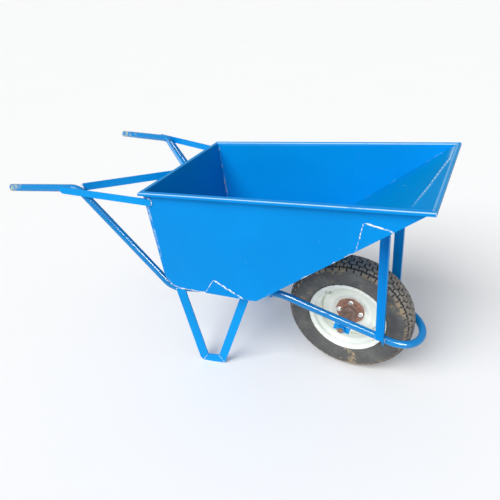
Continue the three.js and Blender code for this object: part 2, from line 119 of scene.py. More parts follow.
def wheel_point(radius, y, angle):
    """A point of the wheel: radius and y in millimetres, angle from +X towards +Z."""
    return AXLE + Vector((radius * cos(angle), y, radius * sin(angle))) * MM


def lerp(a, b, t):
    return a + (b - a) * t


def smooth(low, high, value):
    t = min(max((value - low) / (high - low), 0.0), 1.0)
    return t * t * (3 - 2 * t)


# Node materials ------------


class Shader:
    """A short way to write a node material."""

    def __init__(self, name):
        self.material = bpy.data.materials.new(name)
        self.material.use_nodes = True
        self.tree = self.material.node_tree
        self.bsdf = self.tree.nodes["Principled BSDF"]
        self.place = self.add("ShaderNodeTexCoord").outputs["Object"]

    def add(self, kind, sockets=None, **settings):
        """A new node with its settings made, and its sockets linked or set."""
        node = self.tree.nodes.new(kind)
        for key, value in settings.items():
            setattr(node, key, value)
        for key, value in (sockets or {}).items():
            self.feed(node.inputs[key], value)
        return node

    def feed(self, socket, value):
        if isinstance(value, bpy.types.NodeSocket):
            self.tree.links.new(value, socket)
        else:
            socket.default_value = value

    def noise(self, scale, detail=3.0, rough=0.55, stretch=None):
        place = self.stretched(stretch) if stretch else self.place
        sockets = {"Vector": place, "Scale": scale, "Detail": detail, "Roughness": rough}
        return self.add("ShaderNodeTexNoise", sockets).outputs["Fac"]

    def stretched(self, scale):
        return self.add("ShaderNodeMapping", {"Vector": self.place, "Scale": scale}).outputs["Vector"]

    def cells(self, scale):
        """Distance to the nearest of many scattered points."""
        return self.add("ShaderNodeTexVoronoi", {"Vector": self.place, "Scale": scale}).outputs["Distance"]

    def math(self, operation, a, b=0.0):
        return self.add("ShaderNodeMath", {0: a, 1: b}, operation=operation).outputs[0]

    def plus(self, a, b):
        return self.math("ADD", a, b)

    def minus(self, a, b):
        return self.math("SUBTRACT", a, b)

    def times(self, a, b):
        return self.math("MULTIPLY", a, b)

    def ramp(self, value, low, high):
        """0 below low, 1 above high, smooth between; low may be above high."""
        ends = (0.0, 1.0) if low < high else (1.0, 0.0)
        sockets = {
            "Value": value,
            "From Min": min(low, high),
            "From Max": max(low, high),
            "To Min": ends[0],
            "To Max": ends[1],
        }
        return self.add("ShaderNodeMapRange", sockets, interpolation_type="SMOOTHSTEP").outputs["Result"]

    def patches(self, low, high, *texture):
        """0 to 1 in soft-edged patches: noise, cut between low and high."""
        return self.ramp(self.noise(*texture), low, high)

    def mix(self, share, a, b):
        sockets = {"Factor": share, "A": a, "B": b}
        return self.add("ShaderNodeMix", sockets, data_type="RGBA").outputs["Result"]

    def over(self, color, tint, mask, strength):
        """The colour with a tint laid over it where the mask says."""
        return self.mix(self.times(mask, strength), color, tint)

    def blend(self, share, a, b):
        sockets = {"Factor": share, "A": a, "B": b}
        return self.add("ShaderNodeMix", sockets, data_type="FLOAT").outputs["Result"]

    def attribute(self, name):
        return self.add("ShaderNodeAttribute", attribute_name=name).outputs["Fac"]

    def axis(self, index):
        return self.add("ShaderNodeSeparateXYZ", {"Vector": self.place}).outputs[index]

    def wheel_radius(self):
        """Distance from the axle, in metres."""
        dx = self.minus(self.axis(0), AXLE.x)
        dz = self.minus(self.axis(2), AXLE.z)
        return self.math("SQRT", self.plus(self.times(dx, dx), self.times(dz, dz)))

    def bump(self, height, strength, distance):
        node = self.add("ShaderNodeBump", {"Height": height, "Strength": strength, "Distance": distance})
        self.feed(self.bsdf.inputs["Normal"], node.outputs["Normal"])

    def surface(self, color, roughness, specular, metallic=0.0):
        self.feed(self.bsdf.inputs["Base Color"], color)
        self.feed(self.bsdf.inputs["Roughness"], roughness)
        self.feed(self.bsdf.inputs["Metallic"], metallic)
        self.feed(self.bsdf.inputs["Specular IOR Level"], specular)
        return self.material


def rgb(r, g, b):
    return (r, g, b, 1.0)


# Blue tones: the enamel's streaks, grain and overspray, and also the brighter painted-light copies for the
# left panel and the bars.
BLUE = rgb(0.0003, 0.305, 0.77)
BLUE_LIGHT = rgb(0.0006, 0.330, 0.82)
BLUE_DEEP = rgb(0.0003, 0.265, 0.68)
# Darker tones of the enamel for the near panel, gussets and struts: painted shade that tones down their
# sunlit faces.
NEAR_PAINTED_SHADE_LIGHT = rgb(0.0003, 0.255, 0.70)
NEAR_PAINTED_SHADE_DEEP = rgb(0.0002, 0.235, 0.65)
# Darkest tones of the enamel, for the wrapped sheet: painted shade inside the tray.
TRAY_PAINTED_SHADE_LIGHT = rgb(0.0003, 0.255, 0.62)
TRAY_PAINTED_SHADE_DEEP = rgb(0.0002, 0.235, 0.57)
# Darker tones of the enamel for the round tubes: painted shade on their sides, under the glossy highlights.
TUBE_PAINTED_SHADE_LIGHT = rgb(0.0005, 0.235, 0.60)
TUBE_PAINTED_SHADE_DEEP = rgb(0.0003, 0.200, 0.52)
# Pale blue-white of the painted highlight lines on the lips and the crease.
PAINTED_HIGHLIGHT_BLUE = rgb(0.68, 0.90, 0.93)
BARE = rgb(0.62, 0.66, 0.66)
PRIMER = rgb(0.82, 0.87, 0.86)
RUST = rgb(0.20, 0.075, 0.035)
MUD = rgb(0.27, 0.19, 0.11)


def brushed_tones(s, tones):
    """Colour of the blue enamel: slow drift, brush streaks, fine grain, and painted highlight lines on the
    lip bends and the crease.
    """
    drift = s.patches(0.36, 0.66, 2.6, 2.0)
    color = s.mix(drift, *tones)
    streak = s.ramp(s.noise(9.0, 4.0, 0.6, (1.0, 1.0, 0.22)), 0.50, 0.78)
    color = s.over(color, BLUE_DEEP, streak, 0.20)
    grain = s.patches(0.45, 0.75, 420.0, 2.0)
    color = s.over(color, BLUE_LIGHT, grain, 0.14)
    # Painted highlight: a pale line on the lips' bends and along the slope's crease, where they catch the
    # light.
    crest = s.times(s.attribute("crest"), s.patches(0.15, 0.45, 20.0, 3.0))
    return s.mix(crest, color, PAINTED_HIGHLIGHT_BLUE)


def paint_chips(s, speckle):
    """1 where the paint is off: scattered specks, and ragged patches where the mesh says wear."""
    size = s.times(s.math("POWER", s.noise(31.0, 2.0), 4.0), 0.62 * speckle)
    speck = s.ramp(s.minus(s.cells(95.0), size), 0.010, -0.010)
    wear = s.attribute("wear")
    score = s.plus(s.times(s.noise(300.0, 5.0, 0.74), 0.75), s.times(s.noise(42.0, 3.0, 0.6), 0.85))
    score = s.plus(score, s.times(wear, 0.72))
    worn = s.times(s.ramp(wear, 0.02, 0.20), s.ramp(score, 1.23, 1.30))
    return s.math("MAXIMUM", s.times(speck, 0.7), worn)


def under_paint(s):
    """What a chip shows: bare steel, primer and a little brown."""
    bare = s.mix(s.patches(0.42, 0.6, 55.0, 3.0), BARE, PRIMER)
    return s.mix(s.patches(0.58, 0.70, 90.0, 3.0), bare, rgb(0.36, 0.28, 0.18))


def grip_rub(s):
    """1 where hands have rubbed the paint off, more and more towards the grips' ends."""
    end = s.ramp(s.axis(0), -0.600, -0.740)
    return s.ramp(s.plus(s.noise(48.0, 5.0, 0.68), s.times(end, 0.27)), 0.70, 0.80)


def blue_paint(name, gloss, specular, speckle, tones=(BLUE, BLUE_LIGHT), coat=0.0, grip_wear=False):
    """Brushed-on gloss enamel with orange peel, specks and chips."""
    s = Shader(name)
    chip = paint_chips(s, speckle)
    color = s.mix(chip, brushed_tones(s, tones), under_paint(s))
    if grip_wear:
        rubbed = grip_rub(s)
        steel = s.mix(s.noise(60.0, 4.0), rgb(0.22, 0.34, 0.36), rgb(0.50, 0.53, 0.44))
        color = s.mix(rubbed, color, steel)
        chip = s.math("MAXIMUM", chip, rubbed)
    rough = s.plus(s.times(s.noise(14.0, 3.0), 0.16), gloss - 0.06)
    peel = s.plus(s.times(s.noise(150.0, 2.0), 0.25), s.times(s.noise(22.0, 2.0), 0.8))
    s.bump(s.minus(peel, s.times(chip, 0.35)), 0.16, 0.0012)
    s.bsdf.inputs["Coat Weight"].default_value = coat
    s.bsdf.inputs["Coat Roughness"].default_value = 0.14
    return s.surface(color, s.blend(chip, rough, 0.55), specular)


def weld_paint(name):
    """Painted weld beads with most of the paint knocked off their crests."""
    s = Shader(name)
    patch = s.patches(0.40, 0.54, 95.0, 4.0, 0.66)
    stretch = s.patches(0.36, 0.52, 22.0, 3.0, 0.6)
    bright = s.times(patch, stretch)
    color = s.mix(bright, BLUE, PRIMER)
    color = s.over(color, rgb(0.42, 0.40, 0.33), s.patches(0.58, 0.68, 70.0, 3.0), 0.7)
    s.bump(s.noise(320.0, 3.0), 0.5, 0.0008)
    return s.surface(color, s.blend(bright, 0.35, 0.5), 0.35)


def cream_paint(name):
    """Off-white rim enamel with grime, rust stains round the hub and a dark rubbed rim edge."""
    s = Shader(name)
    shade = s.patches(0.35, 0.70, 7.0, 4.0, 0.6)
    color = s.mix(shade, rgb(0.86, 0.90, 0.82), rgb(0.93, 0.95, 0.88))
    grime = s.patches(0.60, 0.74, 34.0, 5.0, 0.7)
    color = s.over(color, rgb(0.42, 0.36, 0.27), grime, 0.35)
    radius = s.wheel_radius()
    stain = s.times(s.ramp(radius, 0.066, 0.050), s.patches(0.42, 0.60, 60.0, 4.0))
    color = s.over(color, rgb(0.36, 0.20, 0.11), stain, 0.6)
    rim_edge = s.times(s.ramp(radius, 0.138, 0.144), s.patches(0.50, 0.60, 120.0, 4.0))
    color = s.over(color, rgb(0.25, 0.21, 0.17), rim_edge, 0.7)
    s.bump(s.noise(60.0, 3.0), 0.14, 0.001)
    return s.surface(color, s.plus(s.times(s.noise(25.0), 0.2), 0.28), 0.3)


def rusty(name, dark, light):
    """Dry rust: two tones in patches, dark pits and pale flecks."""
    s = Shader(name)
    patch = s.patches(0.36, 0.66, 48.0, 5.0, 0.65)
    color = s.mix(patch, dark, light)
    pits = s.patches(0.52, 0.66, 240.0, 4.0, 0.7)
    color = s.over(color, rgb(0.035, 0.018, 0.012), pits, 0.6)
    fleck = s.ramp(s.cells(330.0), 0.16, 0.08)
    color = s.over(color, rgb(0.42, 0.20, 0.10), fleck, 0.5)
    s.bump(s.plus(s.noise(190.0, 5.0, 0.7), s.noise(40.0, 3.0)), 0.45, 0.0012)
    return s.surface(color, s.blend(pits, 0.62, 0.88), 0.35)


def painted_nut(name):
    """Rusty nuts caught by the blue brush on their upper front halves."""
    s = Shader(name)
    rust = s.mix(s.patches(0.38, 0.62, 70.0, 5.0, 0.7), rgb(0.36, 0.15, 0.05), rgb(0.66, 0.38, 0.15))
    across = s.minus(s.axis(0), AXLE.x - 0.004)
    above = s.minus(s.axis(2), AXLE.z - 0.003)
    reach = s.plus(s.times(across, 30.0), s.times(above, 30.0))
    brushed = s.ramp(s.plus(reach, s.noise(110.0, 3.0)), 0.46, 0.58)
    s.bump(s.noise(210.0, 4.0, 0.7), 0.35, 0.001)
    return s.surface(s.mix(brushed, rust, BLUE_DEEP), s.blend(brushed, 0.75, 0.35), 0.25)


def plated_steel(name):
    """Zinc-plated steel with rust breaking through."""
    s = Shader(name)
    color = s.mix(s.noise(60.0, 4.0), rgb(0.55, 0.57, 0.54), rgb(0.86, 0.87, 0.84))
    rust = s.patches(0.57, 0.68, 140.0, 4.0, 0.7)
    color = s.over(color, RUST, rust, 0.7)
    s.bump(s.noise(260.0, 3.0), 0.25, 0.0006)
    return s.surface(color, s.blend(rust, 0.34, 0.8), 0.5, s.blend(rust, 0.85, 0.0))


def tyre_rubber(name):
    """Weathered rubber: painted shade in the grooves, dusty grey blocks, moulded rings and dried mud."""
    s = Shader(name)
    side = s.attribute("side")
    color = s.mix(s.noise(30.0, 4.0, 0.6), rgb(0.054, 0.056, 0.057), rgb(0.100, 0.102, 0.100))
    dust = s.patches(0.40, 0.70, 11.0, 5.0, 0.65)
    color = s.over(color, rgb(0.185, 0.182, 0.168), dust, 0.60)
    rings = s.ramp(s.math("SINE", s.times(s.wheel_radius(), 2400.0)), 0.55, 0.95)
    rings = s.times(rings, s.times(s.ramp(side, 0.30, 0.60), s.noise(16.0, 3.0)))
    color = s.over(color, rgb(0.19, 0.185, 0.17), rings, 0.75)
    top = s.times(s.ramp(side, 0.30, 0.0), s.patches(0.28, 0.55, 70.0, 4.0, 0.7))
    color = s.over(color, rgb(0.31, 0.275, 0.235), top, 0.62)
    shoulder = s.times(s.ramp(side, 0.05, 0.22), s.ramp(side, 0.42, 0.26))
    tan_dust = s.times(shoulder, s.patches(0.44, 0.60, 17.0, 5.0, 0.75))
    color = s.over(color, rgb(0.33, 0.225, 0.13), tan_dust, 0.65)
    muddy = s.ramp(s.plus(s.noise(6.5, 6.0, 0.78), s.times(shoulder, 0.05)), 0.575, 0.645)
    mud = s.mix(s.noise(120.0, 3.0), MUD, rgb(0.45, 0.36, 0.22))
    color = s.over(color, mud, muddy, 0.85)
    # Painted shade: the tread grooves are darkened almost to black.
    groove = s.ramp(s.attribute("groove"), 0.25, 0.75)
    color = s.mix(groove, color, rgb(0.010, 0.010, 0.011))
    s.bump(s.plus(s.noise(280.0, 4.0, 0.7), s.times(muddy, 0.6)), 0.35, 0.0012)
    return s.surface(color, s.blend(muddy, 0.62, 0.92), 0.3)


def plain_rubber(name, dark, light):
    s = Shader(name)
    color = s.mix(s.patches(0.3, 0.7, 80.0, 4.0), dark, light)
    s.bump(s.noise(300.0, 3.0), 0.2, 0.0005)
    return s.surface(color, 0.7, 0.3)


def floor_finish(name):
    s = Shader(name)
    color = s.mix(s.noise(1.3, 3.0), rgb(0.88, 0.88, 0.88), rgb(0.90, 0.90, 0.90))
    return s.surface(color, 0.85, 0.1)


# Near panel and gussets: a darker copy of the enamel, painted shade.
PAINT_RIGHT_SHADED = blue_paint("blue_enamel_right_painted_shade", 0.30, 0.05, 0.55, (NEAR_PAINTED_SHADE_DEEP, NEAR_PAINTED_SHADE_LIGHT))
# Left panel: a brighter copy of the enamel, painted light on its inner face.
PAINT_LEFT_LIT = blue_paint("blue_enamel_left_painted_light", 0.30, 0.08, 0.55)
# The wrapped sheet gets the darkest copy of the enamel: painted shade inside the tray.
PAINT_TRAY_SHADED = blue_paint("blue_enamel_tray_painted_shade", 0.34, 0.02, 0.65, (TRAY_PAINTED_SHADE_DEEP, TRAY_PAINTED_SHADE_LIGHT))
# Tubes: a darker copy of the enamel, painted shade.
PAINT_TUBE_SHADED = blue_paint("blue_enamel_tube_painted_shade", 0.20, 0.10, 0.35, (TUBE_PAINTED_SHADE_DEEP, TUBE_PAINTED_SHADE_LIGHT), 0.50, grip_wear=True)
# Legs, straps, braces and bars: a brighter copy of the enamel, painted light from the floor's bounce.
PAINT_BAR_LIT = blue_paint("blue_enamel_bar_painted_light", 0.30, 0.10, 0.45, (BLUE_DEEP, BLUE))
# Struts: a darker copy of the enamel, painted shade.
PAINT_STRUT_SHADED = blue_paint("blue_enamel_strut_painted_shade", 0.30, 0.06, 0.55, (NEAR_PAINTED_SHADE_DEEP, NEAR_PAINTED_SHADE_LIGHT))
WELD = weld_paint("chipped_weld")
CREAM = cream_paint("cream_rim_enamel")
RUST_FLANGE = rusty("red_brown_rust", rgb(0.280, 0.140, 0.096), rgb(0.450, 0.228, 0.158))
RUST_DARK = rusty("dark_brown_rust", rgb(0.170, 0.108, 0.083), rgb(0.300, 0.195, 0.150))
PLATED = plated_steel("worn_zinc")
NUT_PAINT = painted_nut("overpainted_nut")
RUBBER = tyre_rubber("weathered_tyre")
SOFT_RUBBER = plain_rubber("tube_rubber", rgb(0.02, 0.02, 0.02), rgb(0.07, 0.066, 0.06))
VALVE_RUBBER = plain_rubber("overpainted_valve", rgb(0.42, 0.47, 0.42), rgb(0.66, 0.71, 0.65))

# Mesh helpers ------------


def add_object(name, data):
    item = bpy.data.objects.new(name, data)
    bpy.context.scene.collection.objects.link(item)
    return item


def make_piece(name, points, faces, material, body, nodes, sharp):
    """A smooth-shaded mesh object that rides on a CAD body and may replace CAD nodes."""
    mesh = bpy.data.meshes.new(name)
    mesh.from_pydata([tuple(p) for p in points], [], faces)
    mesh.validate()
    for polygon in mesh.polygons:
        polygon.use_smooth = True
    mesh.set_sharp_from_angle(angle=radians(sharp))
    mesh.materials.append(material)
    piece = add_object(name, mesh)
    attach(piece, body)
    if nodes:
        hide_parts(*nodes)
    return piece


def grid_faces(rows, columns, wrap_rows=False, wrap_columns=False, flip=False):
    faces = []
    for r in range(rows if wrap_rows else rows - 1):
        for c in range(columns if wrap_columns else columns - 1):
            r2, c2 = (r + 1) % rows, (c + 1) % columns
            face = (r * columns + c, r * columns + c2, r2 * columns + c2, r2 * columns + c)
            faces.append(face[::-1] if flip else face)
    return faces


def store(piece, **layers):
    """Keeps a value per vertex for the materials to read."""
    for name, values in layers.items():
        layer = piece.data.attributes.new(name, "FLOAT", "POINT")
        layer.data.foreach_set("value", values)


def thicken(piece):
    """Gives a sheet its thickness, outward from the modelled face, and softens its cut edges."""
    solid = piece.modifiers.new("thickness", "SOLIDIFY")
    solid.thickness = SHEET * MM
    solid.offset = -1.0
    solid.use_even_offset = True
    edge = piece.modifiers.new("edges", "BEVEL")
    edge.width = 0.35 * MM
    edge.segments = 2
    edge.limit_method = "ANGLE"
    edge.angle_limit = radians(60)


def bend_points(corners, step=0.07, stretch=40.0):
    """Turns (point, radius) corners into a route with arcs; straight runs get a point per stretch."""
    places = [Vector(p) for p, _ in corners]
    route = [places[0]]
    for i in range(1, len(places) - 1):
        back = (places[i - 1] - places[i]).normalized()
        ahead = (places[i + 1] - places[i]).normalized()
        turn = pi - back.angle(ahead)
        radius = corners[i][1]
        centre = places[i] + (back + ahead).normalized() * (radius / cos(turn / 2))
        reach = radius * tan(turn / 2)
        start = places[i] + back * reach - centre
        end = places[i] + ahead * reach - centre
        steps = max(3, math.ceil(turn / step))
        for k in range(steps + 1):
            a = sin(turn * (steps - k) / steps) / sin(turn)
            b = sin(turn * k / steps) / sin(turn)
            route.append(centre + start * a + end * b)
    route.append(places[-1])
    filled = [route[0]]
    for a, b in zip(route, route[1:]):
        count = max(1, round((b - a).length / stretch))
        filled.extend(a.lerp(b, (k + 1) / count) for k in range(count))
    return filled


def route_frames(route, closed=False):
    """Tangent and two unit normals at each point, carried along without twist."""
    frames = []
    last = len(route) - 1
    normal = None
    for i, point in enumerate(route):
        before = route[i - 1] if i or closed else route[0]
        after = route[(i + 1) % len(route)] if i < last or closed else route[last]
        tangent = (after - before).normalized()
        if normal is None:
            normal = tangent.orthogonal().normalized()
        normal = (normal - tangent * normal.dot(tangent)).normalized()
        frames.append((point, normal, tangent.cross(normal)))
    return frames


# Tray ------------


def panel_bottom(x):
    """Height of the side panel's lower outline at x."""
    if x < REAR_X + REAR_RADIUS:
        run = REAR_X + REAR_RADIUS - x
        return FLOOR_Z + REAR_RADIUS - math.sqrt(max(REAR_RADIUS**2 - run**2, 0.0))
    reach = FOOT_RADIUS * tan(PANEL_SLOPE / 2)
    if x < FOOT_X - reach:
        return FLOOR_Z
    if x < FOOT_X + reach * cos(PANEL_SLOPE):
        run = x - (FOOT_X - reach)
        return FLOOR_Z + FOOT_RADIUS - math.sqrt(FOOT_RADIUS**2 - run**2)
    return FLOOR_Z + (x - FOOT_X) * tan(PANEL_SLOPE)


def panel_columns():
    columns = [REAR_X + step for step in (0, 0.4, 1, 2, 3, 4, 5, 6, 7, 8, 9, 10, 11, 12, 13.5)]
    angles = [radians(a) for a in range(40, 91, 5)]
    columns += [REAR_X + REAR_RADIUS * (1 - cos(a)) for a in angles]
    for start, end, count in ((-547, -255, 36), (-255, -230, 8), (-230, 314.7, 66)):
        columns.extend(lerp(start, end, (k + 1) / count) for k in range(count))
    return columns


def lip_profile():
    """(outward, z) points over the bend, the flange and the down-turn, from the wall's inner face."""
    points = []
    depth = LIP_HALF - (HALF_WIDTH - SHEET)
    for k in range(7):
        angle = radians(90 * k / 6)
        points.append((LIP_BEND * (1 - cos(angle)), TOP_Z - LIP_BEND * (1 - sin(angle))))
    for k in range(1, 4):
        points.append((lerp(LIP_BEND, depth - LIP_BEND, k / 4), TOP_Z))
    for k in range(7):
        angle = radians(90 * k / 6)
        points.append((depth - LIP_BEND * (1 - sin(angle)), TOP_Z - LIP_BEND * (1 - cos(angle))))
    points.append((depth, lerp(TOP_Z - LIP_BEND, TOP_Z - LIP_DROP, 0.5)))
    points.append((depth, TOP_Z - LIP_DROP))
    return points


def bend_crest(share, inner, outer):
    """How strong the painted highlight line is on the lip's inner and outer bends."""
    inside = inner * max(0.0, 1 - abs(share - 0.085) / 0.085)
    outside = outer * max(0.0, 1 - abs(share - 0.915) / 0.085)
    return max(inside, outside)


def nearest(x, z, line):
    """Distance from a point to a polyline in X and Z."""
    best = 1e9
    for (x1, z1), (x2, z2) in zip(line, line[1:]):
        dx, dz = x2 - x1, z2 - z1
        t = min(max(((x - x1) * dx + (z - z1) * dz) / (dx * dx + dz * dz), 0.0), 1.0)
        best = min(best, math.hypot(x - x1 - t * dx, z - z1 - t * dz))
    return best


def panel_heights(x):
    """Heights up the wall at x: close together over the lower seam, then even up to the lip's bend."""
    wall_top = TOP_Z - LIP_BEND
    low = min(panel_bottom(x), wall_top - 0.8)
    tall = wall_top - low
    steps = [0, 1.5, 3, 5, 8, 12, 17, 24, 34]
    if tall < 60:
        steps = [min(step, tall * 0.012 * (i + 1)) for i, step in enumerate(steps)]
    heights = [low + step for step in steps]
    start = heights[-1]
    return heights + [lerp(start, wall_top, (k + 1) / 34) for k in range(33)]


def wall_wave(x, z, low, side):
    """Slight bulges of the flat panel, none at its edges."""
    inside = min(x - REAR_X, z - low, TOP_Z - LIP_BEND - z)
    bulge = 2.2 * smooth(15, 120, inside)
    return bulge * noise.noise(Vector((x * 0.006, side * 3.1, z * 0.008)))


def seam_wear(x, z, low, side):
    """Chips in a thin double line beside the rear weld, and in clusters along the lower seam."""
    wander = 1.6 * noise.noise(Vector((x * 0.02, 7.0 * side, z * 0.035)))
    from_bead = nearest(x + wander, z, REAR_SEAM)
    double_line = max(0.0, 1 - abs(from_bead - 2.4) / 2.2)
    stitched = 0.84 + 0.34 * noise.noise(Vector((x * 0.011, 5.0 * side, z * 0.009)))
    cluster = 1.0
    if x > -228:
        cluster = max(math.exp(-((x - at) / wide) ** 2) for at, wide in SLOPE_CHIPS)
    return max(0.95 * double_line, (1 - (z - low) / 9.0) * cluster, 0.0) * stitched


def side_panel(side, name):
    """A side wall with its folded lip; side is -1 on the right and 1 on the left."""
    wall_top = TOP_Z - LIP_BEND
    wall_y = HALF_WIDTH - SHEET
    lip = lip_profile()
    depth = lip[-1][0]
    # Painted highlight: on the near (right) lip it sits on the outer bend, on the far (left) lip on the
    # inner bend.
    inner_highlight, outer_highlight = (0.15, 0.9) if side < 0 else (0.95, 0.3)
    rows, wear, crest = [], [], []
    for x in panel_columns():
        heights = panel_heights(x)
        low = heights[0]
        along = (x - REAR_X) / (PANEL_FRONT_X - REAR_X)
        corner = min(x - REAR_X, PANEL_FRONT_X - x)
        lip_x = lerp(WALL_REAR_X, WALL_FRONT_X, along)
        row = []
        for z in heights:
            at_x = lerp(x, lip_x, smooth(wall_top - 14, wall_top, z))
            row.append(tray_point(at_x, side * (wall_y + wall_wave(x, z, low, side)), z))
            wear.append(seam_wear(x, z, low, side))
        for outward, z in lip[1:]:
            share = outward / depth
            start_x = lerp(WALL_REAR_X, LIP_REAR_X + 0.3, share)
            end_x = lerp(WALL_FRONT_X, LIP_FRONT_X - 0.3, share)
            row.append(tray_point(lerp(start_x, end_x, along), side * (wall_y + outward), z))
            wear.append(max(0.0, 0.52 - corner / 22.0) + (0.14 if share > 0.9 else 0.0))
        rows.append(row)
        crest.extend([0.0] * (len(heights) - 1))
        crest.extend(bend_crest(outward / depth, inner_highlight, outer_highlight) for outward, _ in lip)
    points = [p for row in rows for p in row]
    faces = grid_faces(len(rows), len(rows[0]), flip=side > 0)
    paint = PAINT_RIGHT_SHADED if side < 0 else PAINT_LEFT_LIT
    piece = make_piece(name + "_enamelled", points, faces, paint, "frame", (name,), 60)
    store(piece, wear=wear, crest=crest)
    thicken(piece)


def wrap_path():
    """(x, z, lip mark, region) along the inner face from rear to front; the mark is above 0 on the lips."""
    path = []

    def arc(cx, cz, radius, start, end, steps, on_lip):
        for k in range(steps + 1):
            a = radians(lerp(start, end, k / steps))
            path.append((cx + radius * cos(a), cz + radius * sin(a), on_lip, "bend"))

    def straight(x1, z1, x2, z2, steps, region):
        path.extend((lerp(x1, x2, k / steps), lerp(z1, z2, k / steps), 0, region) for k in range(1, steps))

    bend_z = TOP_Z - LIP_BEND
    rear_radius = REAR_RADIUS - INWARD
    foot_radius = FOOT_RADIUS - INWARD
    reach = foot_radius * tan(WRAP_SLOPE / 2)
    turn = LIP_BEND * tan(WRAP_SLOPE / 2)
    c, s = cos(WRAP_SLOPE), sin(WRAP_SLOPE)
    rise = math.degrees(WRAP_SLOPE)

    path.append((LIP_REAR_X, TOP_Z - LIP_DROP, 1, "lip"))
    arc(LIP_REAR_X + LIP_BEND, bend_z, LIP_BEND, 180, 90, 6, 1)
    arc(WRAP_REAR - LIP_BEND, bend_z, LIP_BEND, 90, 0, 6, 1)
    straight(WRAP_REAR, bend_z, WRAP_REAR, WRAP_FLOOR + rear_radius, 30, "rear")
    arc(WRAP_REAR + rear_radius, WRAP_FLOOR + rear_radius, rear_radius, 180, 270, 14, 0)
    straight(WRAP_REAR + rear_radius, WRAP_FLOOR, WRAP_FOOT - reach, WRAP_FLOOR, 26, "floor")
    arc(WRAP_FOOT - reach, WRAP_FLOOR + foot_radius, foot_radius, 270, 270 + rise, 6, 0)
    foot_x, foot_z = WRAP_FOOT + reach * c, WRAP_FLOOR + reach * s
    straight(foot_x, foot_z, WRAP_FRONT - turn * c, TOP_Z - turn * s, 140, "slope")
    arc(WRAP_FRONT + turn, bend_z, LIP_BEND, 90 + rise, 90, 4, 1)
    arc(LIP_FRONT_X - LIP_BEND, bend_z, LIP_BEND, 90, 0, 6, 1)
    path.append((LIP_FRONT_X, TOP_Z - LIP_DROP, 1, "lip"))
    return path


def lip_share(x):
    """How far out on the rear or front lip x is: 0 at the wall, 1 at the edge."""
    if x < 0:
        return (WRAP_REAR - x) / (WRAP_REAR - LIP_REAR_X)
    return max(0.0, (x - WRAP_FRONT) / (LIP_FRONT_X - WRAP_FRONT))


def sheet_shift(x, y, z, region, to_crease):
    """How far the sheet is dented, along X and Z: crease and waves on the slope, waves on the rear wall."""
    if region == "slope":
        away = min(WRAP_HALF - abs(y), z - FLOOR_Z - INWARD, TOP_Z - z)
        fold = 4.0 * math.exp(-to_crease / 9.0) * smooth(-170, -120, y) * smooth(0, 8, TOP_Z - z)
        wave = smooth(0, 40, away) * noise.noise(Vector((x * 0.005, y * 0.004, 4.0)))
        shift = Vector((-sin(WRAP_SLOPE), 0, cos(WRAP_SLOPE))) * (fold + wave)
        return shift.x, shift.z
    if region == "rear":
        away = min(WRAP_HALF - abs(y), TOP_Z - z, z - FLOOR_Z - 60)
        return 2.0 * smooth(0, 50, away) * noise.noise(Vector((y * 0.007, z * 0.008, 9.0))), 0.0
    return 0.0, 0.0


def sheet_wear(x, y, z, edge):
    """Chips along the side seams and at the lip's corners."""
    patch = 0.62 + 0.5 * noise.noise(Vector((x * 0.010, y * 0.010, z * 0.010)))
    corner = 0.75 if x > 0 and y > 0 else 0.45
    return max(0.0, 0.9 - edge / 7.0) * patch + max(0.0, corner - (LIP_HALF - abs(y)) / 24.0)


def wrap_sheet():
    """The one sheet of rear wall, floor and slope, with its lips."""
    columns = 125
    points, wear, crest = [], [], []
    for x, z, on_lip, region in wrap_path():
        share = lip_share(x) if on_lip else 0.0
        half = lerp(WRAP_HALF, LIP_HALF - 0.3, share)
        for c in range(columns):
            y = half * (2 * c / (columns - 1) - 1)
            to_crease = nearest(x, y, CREASE)
            dx, dz = sheet_shift(x, y, z, region, to_crease)
            points.append(tray_point(x + dx, y, z + dz))
            wear.append(sheet_wear(x, y, z, half - abs(y) if share < 0.5 else 30.0))
            # Painted highlight along the crease in the slope, where the bent sheet catches the light.
            ridge = 0.0
            if region == "slope":
                width = lerp(1.5, 4.0, smooth(100, 200, y))
                ridge = math.exp(-to_crease / width) * smooth(-175, -60, y)
            crest.append(max(ridge, bend_crest(share, 0.25, 0.30)))
    faces = grid_faces(len(points) // columns, columns, flip=True)
    piece = make_piece("tray_wrap_enamelled", points, faces, PAINT_TRAY_SHADED, "frame", ("tray_wrap_sheet",), 60)
    store(piece, wear=wear, crest=crest)
    thicken(piece)


# Tubes ------------


def tube_y(x):
    return HEEL[1] - (x - HEEL[0]) * (HEEL[1] - WAIST[1]) / (WAIST[0] - HEEL[0])


def handle_route(side):
    return bend_points([
        ((GRIP[0], side * GRIP[1], GRIP[2]), 0),
        ((ELBOW[0], side * ELBOW[1], ELBOW[2]), 55),
        ((HEEL[0], side * HEEL[1], TUBE_Z), 70),
        ((SPLIT_X, side * tube_y(SPLIT_X), TUBE_Z), 0),
    ])


def loop_route():
    reach = (LOOP_FRONT_X - YOKE[0]) / cos(LOOP_SLOPE)
    front_z = YOKE[2] - reach * sin(LOOP_SLOPE)
    right = [
        ((SPLIT_X + 0.3, -tube_y(SPLIT_X + 0.3), TUBE_Z), 0),
        ((WAIST[0], -WAIST[1], TUBE_Z), 150),
        ((YOKE[0], -YOKE[1], YOKE[2]), 90),
        ((LOOP_FRONT_X, -YOKE[1], front_z), YOKE[1] - 0.5),
    ]
    left = [((x, -y, z), radius) for (x, y, z), radius in reversed(right)]
    return bend_points(right + left)


